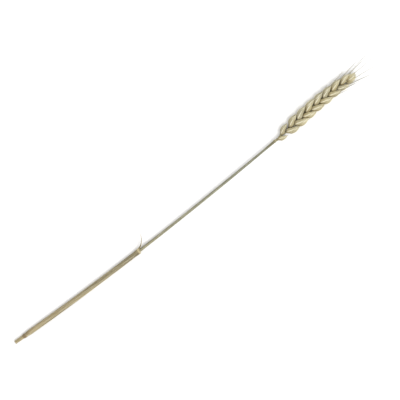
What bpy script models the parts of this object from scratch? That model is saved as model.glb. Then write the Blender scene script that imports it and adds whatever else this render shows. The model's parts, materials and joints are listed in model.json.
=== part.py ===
"""A ripe wheat ear on its dried straw, as cut, lying on its side.

Metres, +Z up. The straw runs along X with its cut end at -X and the ear at +X.
The ear is two rows of spikelets on a zigzag stem, with a last one at the tip. The
straw is a hollow stem with one swollen joint, and the leaf is the sheath that wraps
it above that joint, with the stub of its torn blade. The origin is under the middle.
"""

import math
import random

import bmesh
import bpy
import numpy as np
from mathutils import Matrix, Vector

MM = 0.001

# Driving lengths along the middle line, measured from the cut end
STRAW_LENGTH = 283 * MM
EAR_LENGTH = 92 * MM
COLLAR_AT = 133 * MM

# The middle line: distance from the cut end, heading in plan and climb, both in degrees.
# It climbs from the thin straw to the thick ear, so that both touch the ground at Z = 0.
ROUTE_AT = [0 * MM, 140 * MM, 275 * MM, 300 * MM, 330 * MM, 375 * MM]
ROUTE_HEADING = [-4.0, -1.0, 1.0, 3.6, 1.6, -7.0]
ROUTE_CLIMB = [0.38, 0.38, 0.35, 0.30, -0.1, -0.9]
ROUTE_STEP = 1 * MM
ROUTE_START_HEIGHT = 2.25 * MM

# Straw: distance from the cut end and radius there, both in mm
STRAW_AT = [0, 6, 8.5, 9.8, 11.2, 12.8, 60, 150, 230, 268, 279, 282.7]
STRAW_RADIUS = [1.45, 1.45, 1.60, 1.95, 1.95, 1.35, 1.30, 1.20, 1.12, 1.00, 1.05, 1.12]
STRAW_SIDES = 12
STRAW_RING_FIRST, STRAW_RING_LAST, STRAW_RING_STEP = 20 * MM, 262 * MM, 11 * MM
BORE_RADIUS = 0.85 * MM
BORE_DEPTH = 7 * MM

# Leaf: a sheath wrapped round the straw, open along one side, and the stub of its blade.
# The slit winds from its first angle to its last, measured from +Y towards +Z.
SHEATH_START = 13.4 * MM
SHEATH_GAP = 0.30 * MM
SHEATH_WALL = 0.60 * MM
SHEATH_SWELLING = 0.20 * MM
SHEATH_SWELLING_LENGTH = 2.5 * MM
SHEATH_SLIT = math.radians(34)
SHEATH_SLIT_FACES = (math.radians(130), math.radians(200))
SHEATH_COLUMNS = 12
SHEATH_ROW_STEP = 10 * MM
COLLAR_FLARE = 0.35 * MM
COLLAR_LENGTH = 6 * MM
BLADE_LENGTH = 13 * MM
BLADE_ROWS = 5
BLADE_COLUMNS = (4, 8)
BLADE_LIFT = math.radians(42)
BLADE_WIDTH = 10.5 * MM
BLADE_FLATTENS = 1.6
BLADE_TEAR = (1.0, 0.84, 0.93, 0.72, 0.80)

# Ear: spikelets stand on alternate sides of its stem, a joint apart
EAR_BASE = STRAW_LENGTH + 0.3 * MM
EAR_BASE_RADIUS = 1.12 * MM
SIDE_SPIKELETS = 16
FIRST_SPIKELET = 2.6 * MM
SPIKELET_STEP = 4.75 * MM
EAR_ROLL = (math.radians(-5), math.radians(7))
SPIKELET_LEAN = (math.radians(18), math.radians(14))
SPIKELET_SIZE_AT = [0, 1, 2, 4, 9, 13, 15]
SPIKELET_SIZE = [0.66, 0.84, 0.95, 1.03, 1.03, 0.93, 0.84]
SPIKELET_SIZE_DRAW = (0.97, 1.03)
TIP_SPIKELET_SIZE = 0.84
STEM_ZIGZAG = 0.8 * MM
STEM_RADIUS = 1.00 * MM
STEM_TIP_RADIUS = 0.65 * MM
STEM_PAST_LAST = 2 * MM
STEM_SIDES = 8

# Husks: how the girth swells from the root and tapers to the tip, and how sharp the keel is
HUSK_SWELL = 0.55
HUSK_TAPER = 0.80
HUSK_KEEL = 1.35
BEAK_SHARE = 0.12

# Awns: needles on the husks near the tip, longer towards it, rooted well inside the husk
AWN_ROOT = 0.82
AWN_RADIUS = 0.28 * MM
AWN_TIP_RADIUS = 0.10 * MM
AWN_POINTS = 6
AWN_SIDES = 4
FIRST_AWNED = 9
AWN_LENGTH = (12 * MM, 34 * MM)
AWN_LENGTH_DRAW = (0.75, 1.10)
AWN_SAG_DRAW = (-0.03, 0.10)
AWN_CLEARANCE = 0.6 * MM

# The lowest husks and the sheath's foot are pressed flat where they lie
GROUND_LENGTH, GROUND_WIDTH, GROUND_DEPTH = 900 * MM, 60 * MM, 3 * MM
WELD = 0.001 * MM
SHARP_ANGLE = math.radians(40)
SEED = 7

STRAW_COLOUR, STRAW_ROUGHNESS = (0.31, 0.29, 0.17, 1), 0.45
HUSK_COLOUR, HUSK_ROUGHNESS = (0.52, 0.47, 0.30, 1), 0.6
SHEATH_COLOUR, SHEATH_ROUGHNESS = (0.42, 0.37, 0.24, 1), 0.5


class Husk:
    """One scale of a spikelet: its size, where its root is and which way it faces."""

    def __init__(self, size, root, lean_out, lean_across, turn, bend, awned=False, facets=(8, 5)):
        self.length, self.width, self.back, self.front = (value * MM for value in size)
        self.root = Vector(root) * MM
        self.lean_out, self.lean_across, self.turn = map(math.radians, (lean_out, lean_across, turn))
        self.bend = bend * MM
        self.awned = awned
        self.facets = facets


# Size is length, width, and depth behind and before. Root is along the spikelet, outwards
# from the ear's stem, and across. Turn is from facing across (0) to facing outwards (90).
# The spikelet's own short stem has the same form and ties its husks to the ear's stem.
GLUME = Husk((9.4, 5.2, 2.0, 1.3), (-0.4, -0.5, 1.5), 6, 17, 14, 1.2)
SIDE_LEMMA = Husk((11.2, 4.8, 2.0, 1.6), (0.8, 0.6, 1.1), 1, 12, 24, 1.3, awned=True)
MIDDLE_LEMMA = Husk((10.4, 4.6, 2.2, 1.8), (2.0, 1.4, 0.1), 3, 1, 90, 1.4)
SPIKELET_STEM = Husk((7.0, 3.4, 1.9, 1.6), (-1.2, -0.6, 0.0), 6, 0, 90, 0.0, facets=(6, 4))


def clear_scene():
    for obj in list(bpy.data.objects):
        bpy.data.objects.remove(obj)


def finish(obj, name, colour, roughness):
    """Smooth shading with sharp edges, and a plain material."""
    obj.data.shade_smooth()
    obj.data.set_sharp_from_angle(angle=SHARP_ANGLE)
    made = bpy.data.materials.new(name)
    made.use_nodes = True
    shader = made.node_tree.nodes["Principled BSDF"]
    shader.inputs["Base Color"].default_value = colour
    shader.inputs["Roughness"].default_value = roughness
    shader.inputs["Metallic"].default_value = 0
    obj.data.materials.clear()
    obj.data.materials.append(made)
    obj.data.polygons.foreach_set("material_index", [0] * len(obj.data.polygons))


def add_object(name, data, collection):
    obj = bpy.data.objects.new(name, data)
    collection.objects.link(obj)
    return obj


def mesh_object(name, bm, collection):
    mesh = bpy.data.meshes.new(name)
    bm.to_mesh(mesh)
    bm.free()
    return add_object(name, mesh, collection)


def make_route():
    """The middle line's points, and its heading and climb, every ROUTE_STEP."""
    at = np.arange(0, STRAW_LENGTH + EAR_LENGTH + ROUTE_STEP, ROUTE_STEP)
    heading = np.radians(np.interp(at, ROUTE_AT, ROUTE_HEADING))
    climb = np.radians(np.interp(at, ROUTE_AT, ROUTE_CLIMB))
    steps = ROUTE_STEP * np.stack([np.cos(heading), np.sin(heading), np.sin(climb)], axis=1)
    points = np.concatenate([[[0, 0, 0]], np.cumsum(steps, axis=0)[:-1]])
    points[:, 2] += ROUTE_START_HEIGHT
    return at, points, heading, climb


ROUTE = make_route()


def route_frame(distance):
    """The frame at a distance from the cut end: X along the line, Z up from it."""
    at, points, heading, climb = ROUTE
    place = Vector([float(np.interp(distance, at, points[:, k])) for k in range(3)])
    turn = Matrix.Rotation(float(np.interp(distance, at, heading)), 4, "Z")
    tilt = Matrix.Rotation(-float(np.interp(distance, at, climb)), 4, "Y")
    return Matrix.Translation(place) @ turn @ tilt


def straw_radius(distance):
    return float(np.interp(distance / MM, STRAW_AT, STRAW_RADIUS)) * MM


def between(ends, share):
    return ends[0] + (ends[1] - ends[0]) * share


def husk_body(husk, size, frame, collection):
    """A closed scale: fullest below the middle, pointed at the tip, keeled on its back."""
    sides, rings = husk.facets
    bm = bmesh.new()
    bmesh.ops.create_uvsphere(bm, u_segments=sides, v_segments=rings, radius=1)
    fullest = HUSK_SWELL / (HUSK_SWELL + HUSK_TAPER)
    most = fullest**HUSK_SWELL * (1 - fullest) ** HUSK_TAPER
    tip = max(vert.co.z for vert in bm.verts)
    for vert in bm.verts:
        share = min(max((vert.co.z + 1) / 2, 0), 1)
        round_at = math.atan2(vert.co.y, vert.co.x)
        girth = share**HUSK_SWELL * (1 - share) ** HUSK_TAPER / most
        rise = math.sin(round_at)
        depth = husk.back * rise**HUSK_KEEL if rise > 0 else husk.front * rise
        reach = share + (BEAK_SHARE if vert.co.z == tip else 0)
        vert.co = Vector((
            husk.length * reach,
            husk.width / 2 * girth * math.cos(round_at),
            depth * girth - husk.bend * share**2,
        ))
    bm.transform(frame @ Matrix.Scale(size, 4))
    return mesh_object("husk", bm, collection)


def husk_frame(husk, side, size):
    """A husk's frame in its spikelet's, on the side +1 or -1 across."""
    root = Vector((husk.root.x, husk.root.y, side * husk.root.z)) * size
    turn = math.radians(90) - side * (math.radians(90) - husk.turn)
    return (
        Matrix.Translation(root)
        @ Matrix.Rotation(-side * husk.lean_across, 4, "Y")
        @ Matrix.Rotation(husk.lean_out, 4, "Z")
        @ Matrix.Rotation(-turn, 4, "X")
    )


def awn_frame(husk, size):
    """The frame of a husk's awn in the husk's own: along its bent middle line."""
    root = Vector((husk.length * AWN_ROOT, 0, -husk.bend * AWN_ROOT**2)) * size
    slope = math.atan(2 * husk.bend * AWN_ROOT / husk.length)
    return Matrix.Translation(root) @ Matrix.Rotation(slope, 4, "Y")


def spikelet_frame(index):
    """A spikelet's frame: X along it, Y outwards, Z across it."""
    share = index / (SIDE_SPIKELETS - 1)
    distance = EAR_BASE + FIRST_SPIKELET + index * SPIKELET_STEP
    half_turn = math.pi if index % 2 == 0 else 0
    return (
        route_frame(distance)
        @ Matrix.Rotation(between(EAR_ROLL, share) + half_turn, 4, "X")
        @ Matrix.Translation((0, STEM_ZIGZAG, 0))
        @ Matrix.Rotation(between(SPIKELET_LEAN, share), 4, "Z")
    )


def tip_frame():
    """The last spikelet's frame: it ends the stem, and stands a quarter turn from the rest."""
    distance = EAR_BASE + FIRST_SPIKELET + SIDE_SPIKELETS * SPIKELET_STEP
    return route_frame(distance) @ Matrix.Rotation(EAR_ROLL[1] + math.pi / 2, 4, "X")


def tube(name, points, radii, sides, collection):
    """A closed round tube through the points, as a mesh with its caps welded on."""
    curve = bpy.data.curves.new(name, "CURVE")
    curve.dimensions = "3D"
    curve.bevel_depth = 1.0
    curve.bevel_resolution = sides // 2 - 2
    curve.use_fill_caps = True
    spline = curve.splines.new("POLY")
    spline.points.add(len(points) - 1)
    for spot, place, radius in zip(spline.points, points, radii):
        spot.co = (*place, 1)
        spot.radius = radius
    drawn = add_object(name, curve, collection)
    graph = bpy.context.evaluated_depsgraph_get()
    mesh = bpy.data.meshes.new_from_object(drawn.evaluated_get(graph))
    bm = bmesh.new()
    bm.from_mesh(mesh)
    bmesh.ops.remove_doubles(bm, verts=bm.verts, dist=WELD)
    bmesh.ops.recalc_face_normals(bm, faces=bm.faces)
    bpy.data.objects.remove(drawn)
    return mesh_object(name, bm, collection)


def add_awn(frame, length, sag, collection):
    """A needle along its frame's X that curves outwards and stays clear of the ground."""
    points, radii = [], []
    for step in range(AWN_POINTS):
        share = step / (AWN_POINTS - 1)
        place = frame @ Vector((length * share, 0, sag * length * share**2))
        place.z = max(place.z, AWN_CLEARANCE)
        points.append(place)
        radii.append(between((AWN_RADIUS, AWN_TIP_RADIUS), share))
    tube("awn", points, radii, AWN_SIDES, collection)


def add_spikelet(frame, size, awn_length, draw, collection):
    """Two glumes and two side florets, one on each side, and a floret facing outwards."""
    husk_body(SPIKELET_STEM, size, frame @ husk_frame(SPIKELET_STEM, 1, size), collection)
    for side in (1, -1):
        for husk in (GLUME, SIDE_LEMMA):
            place = frame @ husk_frame(husk, side, size)
            husk_body(husk, size, place, collection)
            if husk.awned and awn_length:
                length = awn_length * draw.uniform(*AWN_LENGTH_DRAW)
                add_awn(place @ awn_frame(husk, size), length, draw.uniform(*AWN_SAG_DRAW), collection)
    husk_body(MIDDLE_LEMMA, size, frame @ husk_frame(MIDDLE_LEMMA, 1, size), collection)


def joined(base, collection):
    """The base and everything in the collection as one body; the collection is emptied."""
    union = base.modifiers.new("join", "BOOLEAN")
    union.operation = "UNION"
    union.operand_type = "COLLECTION"
    union.collection = collection
    union.solver = "MANIFOLD"
    graph = bpy.context.evaluated_depsgraph_get()
    mesh = bpy.data.meshes.new_from_object(base.evaluated_get(graph))
    base.modifiers.clear()
    base.data = mesh
    for obj in list(collection.objects):
        bpy.data.objects.remove(obj)
    return base


def add_cut(obj, cutter, solver="EXACT"):
    cut = obj.modifiers.new("cut", "BOOLEAN")
    cut.operation = "DIFFERENCE"
    cut.object = cutter
    cut.solver = solver


def ear_stem(collection):
    """The zigzag stem that carries the spikelets, from the straw's top to the last one."""
    points = [route_frame(EAR_BASE).translation]
    radii = [EAR_BASE_RADIUS]
    for index in range(SIDE_SPIKELETS):
        offset = STEM_ZIGZAG / 2 * (1 if index % 2 else -1)
        distance = EAR_BASE + FIRST_SPIKELET + index * SPIKELET_STEP
        points.append(route_frame(distance) @ Vector((0, offset, 0)))
        radii.append(STEM_RADIUS)
    points.append(tip_frame() @ Vector((STEM_PAST_LAST, 0, 0)))
    radii.append(STEM_TIP_RADIUS)
    return tube("ear", points, radii, STEM_SIDES, collection)


def build_ground(cutters):
    bm = bmesh.new()
    size = Matrix.Diagonal((GROUND_LENGTH, GROUND_WIDTH, GROUND_DEPTH, 1))
    bmesh.ops.create_cube(bm, size=1, matrix=Matrix.Translation((0, 0, -GROUND_DEPTH / 2)) @ size)
    return mesh_object("ground", bm, cutters)


def build_ear(parts, ground, loose):
    draw = random.Random(SEED)
    ear = ear_stem(parts)
    for index in range(SIDE_SPIKELETS):
        size = float(np.interp(index, SPIKELET_SIZE_AT, SPIKELET_SIZE)) * draw.uniform(*SPIKELET_SIZE_DRAW)
        awned = (index - FIRST_AWNED) / (SIDE_SPIKELETS - FIRST_AWNED)
        length = between(AWN_LENGTH, awned) if awned >= 0 else 0
        add_spikelet(spikelet_frame(index), size, length, draw, loose)
    add_spikelet(tip_frame(), TIP_SPIKELET_SIZE, AWN_LENGTH[1], draw, loose)
    joined(ear, loose)
    add_cut(ear, ground, "MANIFOLD")
    return ear


def build_straw(parts, cutters):
    rings = np.arange(STRAW_RING_FIRST, STRAW_RING_LAST, STRAW_RING_STEP)
    at = sorted([float(x) for x in rings] + [x * MM for x in STRAW_AT])
    points = [route_frame(x).translation for x in at]
    straw = tube("straw", points, [straw_radius(x) for x in at], STRAW_SIDES, parts)
    bm = bmesh.new()
    round_bore = {"segments": STRAW_SIDES, "radius1": BORE_RADIUS, "radius2": BORE_RADIUS}
    bmesh.ops.create_cone(bm, cap_ends=True, depth=2 * BORE_DEPTH, **round_bore)
    bm.transform(route_frame(0) @ Matrix.Rotation(math.pi / 2, 4, "Y"))
    add_cut(straw, mesh_object("bore", bm, cutters))
    return straw


def leaf_point(distance, round_share):
    """A point of the leaf's inner face, by its distance along and its share of the way round."""
    along_sheath = min((distance - SHEATH_START) / (COLLAR_AT - SHEATH_START), 1)
    past = max(distance - COLLAR_AT, 0)
    swelling = max(1 - (distance - SHEATH_START) / SHEATH_SWELLING_LENGTH, 0) * SHEATH_SWELLING
    flare = max(1 - abs(distance - COLLAR_AT) / COLLAR_LENGTH, 0) * COLLAR_FLARE
    radius = straw_radius(distance) + SHEATH_GAP + swelling + flare
    faces = between(SHEATH_SLIT_FACES, along_sheath) + math.pi
    angle = faces + (math.pi - SHEATH_SLIT / 2) * (2 * round_share - 1)
    outwards = Vector((0, math.cos(faces), math.sin(faces)))
    sideways = Vector((0, -outwards.z, outwards.y))
    opened = min(past / BLADE_LENGTH, 1)
    wrapped = Vector((0, math.cos(angle), math.sin(angle))) * radius
    flat = outwards * radius + sideways * BLADE_WIDTH * (round_share - 0.5)
    mixed = wrapped.lerp(flat, min(opened * BLADE_FLATTENS, 1))
    lift = math.sin(BLADE_LIFT) * past * math.sqrt(opened)
    along = past * (1 - (1 - math.cos(BLADE_LIFT)) * opened)
    return route_frame(min(distance, COLLAR_AT)) @ (mixed + outwards * lift + Vector((along, 0, 0)))


def build_leaf(parts, ground):
    first = SHEATH_START + SHEATH_SWELLING_LENGTH
    rows = [SHEATH_START, *np.linspace(first, COLLAR_AT, round((COLLAR_AT - first) / SHEATH_ROW_STEP))]
    rows += [COLLAR_AT + BLADE_LENGTH * step / BLADE_ROWS for step in range(1, BLADE_ROWS + 1)]
    bm = bmesh.new()
    previous = None
    for row in rows:
        on_blade = row > COLLAR_AT
        low, high = BLADE_COLUMNS if on_blade else (0, SHEATH_COLUMNS)
        line = {}
        for column in range(low, high + 1):
            reach = COLLAR_AT + (row - COLLAR_AT) * BLADE_TEAR[column - low] if on_blade else row
            line[column] = bm.verts.new(leaf_point(float(reach), column / SHEATH_COLUMNS))
        for column in range(low, high):
            if previous:
                bm.faces.new((previous[column], previous[column + 1], line[column + 1], line[column]))
        previous = line
    bmesh.ops.triangulate(bm, faces=bm.faces)
    leaf = mesh_object("leaf_sheath", bm, parts)
    wall = leaf.modifiers.new("wall", "SOLIDIFY")
    wall.thickness = SHEATH_WALL
    wall.offset = 1
    add_cut(leaf, ground)
    return leaf


def centre(parts, cutters):
    """Hangs everything on one empty, which puts the origin under the middle of the whole."""
    frame = add_object("frame", None, bpy.context.scene.collection)
    graph = bpy.context.evaluated_depsgraph_get()
    spots = [Vector(corner) for obj in parts.objects for corner in obj.evaluated_get(graph).bound_box]
    low = Vector([min(spot[k] for spot in spots) for k in range(3)])
    high = Vector([max(spot[k] for spot in spots) for k in range(3)])
    middle = (low + high) / 2
    frame.location = (-middle.x, -middle.y, 0)
    for obj in [*parts.objects, *cutters.objects]:
        obj.parent = frame


def main():
    clear_scene()
    scene = bpy.context.scene.collection
    parts = bpy.data.collections.new("wheat_ear")
    cutters = bpy.data.collections.new("cutters")
    loose = bpy.data.collections.new("loose")
    for collection in (parts, cutters, loose):
        scene.children.link(collection)
    ground = build_ground(cutters)
    ear = build_ear(parts, ground, loose)
    straw = build_straw(parts, cutters)
    leaf = build_leaf(parts, ground)
    for obj in cutters.objects:
        obj.hide_render = True
        obj.display_type = "WIRE"
    finish(ear, "husk", HUSK_COLOUR, HUSK_ROUGHNESS)
    finish(straw, "straw", STRAW_COLOUR, STRAW_ROUGHNESS)
    finish(leaf, "sheath", SHEATH_COLOUR, SHEATH_ROUGHNESS)
    bpy.data.collections.remove(loose)
    centre(parts, cutters)


main()
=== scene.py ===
"""Dresses a ripe wheat ear on its dried straw, lying on a pale floor.

The ear's husks are thin keeled scales set out from a table of spikelets. The straw is a
hollow ribbed stem, and the leaf is a ribbed sheath with the stub of its torn blade. All
lengths are in metres, along one middle line that is measured from the straw's cut end.
"""

import json
import logging
import math
import random
from dataclasses import dataclass, field
from enum import Enum
from typing import Any, Optional, Sequence, Union

import bmesh
import bpy
import numpy as np
from mathutils import Matrix, Vector
from mathutils.bvhtree import BVHTree

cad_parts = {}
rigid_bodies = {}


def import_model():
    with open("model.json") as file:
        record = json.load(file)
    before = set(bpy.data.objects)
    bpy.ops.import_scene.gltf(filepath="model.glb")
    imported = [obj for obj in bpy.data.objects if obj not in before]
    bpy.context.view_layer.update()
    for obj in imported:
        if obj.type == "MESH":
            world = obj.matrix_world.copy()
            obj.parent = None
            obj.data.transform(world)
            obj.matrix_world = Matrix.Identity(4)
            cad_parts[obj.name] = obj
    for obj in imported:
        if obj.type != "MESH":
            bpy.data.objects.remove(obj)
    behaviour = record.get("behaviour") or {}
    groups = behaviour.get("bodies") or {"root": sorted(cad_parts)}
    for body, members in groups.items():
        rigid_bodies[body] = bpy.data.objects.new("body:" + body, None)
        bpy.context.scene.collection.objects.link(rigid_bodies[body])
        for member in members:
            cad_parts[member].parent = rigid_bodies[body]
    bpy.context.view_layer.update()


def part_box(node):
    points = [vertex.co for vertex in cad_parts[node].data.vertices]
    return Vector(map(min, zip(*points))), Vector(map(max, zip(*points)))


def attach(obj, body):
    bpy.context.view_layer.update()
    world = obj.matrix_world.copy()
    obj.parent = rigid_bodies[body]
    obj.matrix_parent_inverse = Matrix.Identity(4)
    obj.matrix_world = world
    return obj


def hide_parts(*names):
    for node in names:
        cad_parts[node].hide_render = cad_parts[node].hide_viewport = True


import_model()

LOG = logging.getLogger("wheat_ear")
MM = 0.001
FULL_TURN = 2 * math.pi
BODY = "root"
SHARP_ANGLE = math.radians(50)
WELD_DISTANCE = 0.002 * MM
CUT_HEIGHT = 2.25 * MM
REFRACTION = 1.45
NOISE_ROUGHNESS = 0.55

Colour = tuple[float, float, float]
Stops = tuple[tuple[float, Colour], ...]
Line = tuple[list[Vector], list[float]]
Pair = tuple[float, float]
Grain = tuple[float, float, float, float]
Wave = tuple[float, float, float]


class Node(Enum):
    """The solids that the pieces stand for."""

    EAR = "ear"
    STRAW = "straw"
    LEAF = "leaf_sheath"


class Slot(Enum):
    """The record's material slots."""

    HUSK = "husk"
    STRAW = "straw"
    SHEATH = "sheath"


def rgb(red: float, green: float, blue: float) -> Colour:
    """A linear colour from display values.

    Args:
        red: The red value, 0 to 255.
        green: The green value, 0 to 255.
        blue: The blue value, 0 to 255.

    Returns:
        The colour as shaders take it.
    """
    shares = [value / 255 for value in (red, green, blue)]
    linear = [x / 12.92 if x <= 0.04045 else ((x + 0.055) / 1.055) ** 2.4 for x in shares]
    return linear[0], linear[1], linear[2]


class Socket:
    """An output socket of a node tree. Arithmetic on it adds Math nodes."""

    def __init__(self, graph: "Graph", socket: bpy.types.NodeSocket) -> None:
        """Keeps the socket and the graph that it belongs to."""
        self.graph = graph
        self.socket = socket

    def maths(self, operation: str, *values: "Operand") -> "Socket":
        """The output of a Math node, given its operation and its operands in order."""
        return self.graph.node("ShaderNodeMath", {"operation": operation}, dict(enumerate(values)))

    def __add__(self, other: "Operand") -> "Socket":
        """This plus a value."""
        return self.maths("ADD", self, other)

    def __radd__(self, other: "Operand") -> "Socket":
        """A value plus this."""
        return self.maths("ADD", other, self)

    def __sub__(self, other: "Operand") -> "Socket":
        """This minus a value."""
        return self.maths("SUBTRACT", self, other)

    def __rsub__(self, other: "Operand") -> "Socket":
        """A value minus this."""
        return self.maths("SUBTRACT", other, self)

    def __mul__(self, other: "Operand") -> "Socket":
        """This times a value."""
        return self.maths("MULTIPLY", self, other)

    def __rmul__(self, other: "Operand") -> "Socket":
        """A value times this."""
        return self.maths("MULTIPLY", other, self)

    def __gt__(self, other: "Operand") -> "Socket":
        """1 where this is more than a value, and 0 elsewhere."""
        return self.maths("GREATER_THAN", self, other)

    def __lt__(self, other: "Operand") -> "Socket":
        """1 where this is less than a value, and 0 elsewhere."""
        return self.maths("LESS_THAN", self, other)

    def __abs__(self) -> "Socket":
        """This without its sign."""
        return self.maths("ABSOLUTE", self)

    def cosine(self) -> "Socket":
        """The cosine of this."""
        return self.maths("COSINE", self)

    def sine(self) -> "Socket":
        """The sine of this."""
        return self.maths("SINE", self)

    def ramp(self, none: float, full: float) -> "Socket":
        """An eased share that rises or falls with this.

        Args:
            none: Where the share is 0.
            full: Where the share is 1.

        Returns:
            The share.
        """
        low, high, first, last = (none, full, 0.0, 1.0) if none < full else (full, none, 1.0, 0.0)
        inputs = {"Value": self, "From Min": low, "From Max": high, "To Min": first, "To Max": last}
        return self.graph.node("ShaderNodeMapRange", {"interpolation_type": "SMOOTHSTEP"}, inputs)


Operand = Union[Socket, float, int]
Key = Union[int, str]


class Graph:
    """A node tree that is written as expressions."""

    def __init__(self, tree: bpy.types.NodeTree) -> None:
        """Keeps the tree."""
        self.tree = tree

    def add(
        self, kind: str, settings: Optional[dict[str, Any]], inputs: Optional[dict[Key, Any]]
    ) -> bpy.types.Node:
        """Adds one node.

        Args:
            kind: The node's type.
            settings: Its properties, which are set first. "stops" are a colour ramp's.
            inputs: Values or sockets by input number, identifier or name.

        Returns:
            The node.
        """
        made = self.tree.nodes.new(kind)
        for name, value in (settings or {}).items():
            if name == "stops":
                self._set_stops(made.color_ramp.elements, value)
            else:
                setattr(made, name, value)
        for key, value in (inputs or {}).items():
            socket = self._find(made.inputs, key)
            if isinstance(value, Socket):
                self.tree.links.new(value.socket, socket)
            else:
                socket.default_value = value
        return made

    def node(
        self,
        kind: str,
        settings: Optional[dict[str, Any]] = None,
        inputs: Optional[dict[Key, Any]] = None,
        output: Key = 0,
    ) -> Socket:
        """Adds one node, and gives its output with a number, identifier or name."""
        return Socket(self, self._find(self.add(kind, settings, inputs).outputs, output))

    @staticmethod
    def _find(sockets: Sequence[bpy.types.NodeSocket], key: Key) -> bpy.types.NodeSocket:
        """One socket among a node's inputs or outputs.

        Args:
            sockets: The inputs or outputs.
            key: The socket's number, identifier or name.

        Returns:
            The first socket that fits.
        """
        if isinstance(key, int):
            return sockets[key]
        return next(s for s in sockets if s.identifier == key or (s.name == key and s.enabled))

    @staticmethod
    def _set_stops(elements: Any, stops: Stops) -> None:
        """Sets a colour ramp's stops.

        Args:
            elements: The ramp's elements.
            stops: Each stop's place and colour.
        """
        while len(elements) < len(stops):
            elements.new(1.0)
        for element, (place, colour) in zip(elements, stops):
            element.position = place
            element.color = (*colour, 1.0)

    def vector(self, x: Operand, y: Operand, z: Operand) -> Socket:
        """Three values as one vector."""
        return self.node("ShaderNodeCombineXYZ", None, {0: x, 1: y, 2: z})


class Shader(Graph):
    """A material's tree, with the patterns that dried plant matter needs."""

    def __init__(self, name: str) -> None:
        """Makes the material and keeps its principled shader.

        Args:
            name: The material's name.
        """
        self.material = bpy.data.materials.new(name)
        self.material.use_nodes = True
        super().__init__(self.material.node_tree)
        self.principled = self.tree.nodes["Principled BSDF"]

    def uv(self) -> tuple[Socket, ...]:
        """The share along a piece, and the share across or round it."""
        place = {0: self.node("ShaderNodeUVMap", {"uv_map": "UVMap"})}
        return tuple(self.node("ShaderNodeSeparateXYZ", None, place, axis) for axis in "XY")

    def carried(self, name: str) -> Socket:
        """A value that a piece carries in its mesh."""
        return self.node("ShaderNodeAttribute", {"attribute_name": name}, None, "Fac")

    def place(self) -> Socket:
        """The place in the part's own frame."""
        return self.node("ShaderNodeTexCoord", None, None, "Object")

    def noise(self, place: Socket, scale: float, detail: float = 3.0) -> Socket:
        """Soft noise from 0 to 1, read at a place: how fine it is, and its finer layers."""
        inputs = {"Vector": place, "Scale": scale, "Detail": detail, "Roughness": NOISE_ROUGHNESS}
        return self.node("ShaderNodeTexNoise", None, inputs, "Fac")

    def colours(self, share: Socket, stops: Stops) -> Socket:
        """A colour that follows a share through stops."""
        return self.node("ShaderNodeValToRGB", {"stops": stops}, {"Fac": share})

    def mix(self, share: Operand, first: Union[Socket, Colour], second: Union[Socket, Colour]) -> Socket:
        """Two colours mixed.

        Args:
            share: The share of the second.
            first: The first colour.
            second: The second.

        Returns:
            The mixed colour.
        """
        pair = [value if isinstance(value, Socket) else (*value, 1.0) for value in (first, second)]
        inputs = {"Factor_Float": share, "A_Color": pair[0], "B_Color": pair[1]}
        return self.node("ShaderNodeMix", {"data_type": "RGBA"}, inputs, "Result_Color")

    def finish(self, colour: Socket, roughness: Socket, height: Socket, relief: float) -> bpy.types.Material:
        """Joins the patterns to the principled shader.

        Args:
            colour: The base colour.
            roughness: The roughness.
            height: The relief, 0 to 1.
            relief: What 1 of it is in metres.

        Returns:
            The material.
        """
        bump = self.node("ShaderNodeBump", None, {"Height": height, "Distance": relief})
        for name, value in (("Base Color", colour), ("Roughness", roughness), ("Normal", bump)):
            self.tree.links.new(value.socket, self.principled.inputs[name])
        self.principled.inputs["IOR"].default_value = REFRACTION
        return self.material


@dataclass(frozen=True)
class Coat:
    """A tone over a finish: the values where its share is none and full, and its strength."""

    tone: Colour
    none: float
    full: float
    strength: float

    def over(self, shader: Shader, colour: Socket, value: Socket) -> Socket:
        """A colour with this tone over it, as much as a value says."""
        return shader.mix(value.ramp(self.none, self.full) * self.strength, colour, self.tone)


# A cream tone for the husk's keel and threads; on the keel it is partly a painted highlight.
PALE_HUSK = rgb(232, 227, 204)


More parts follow.
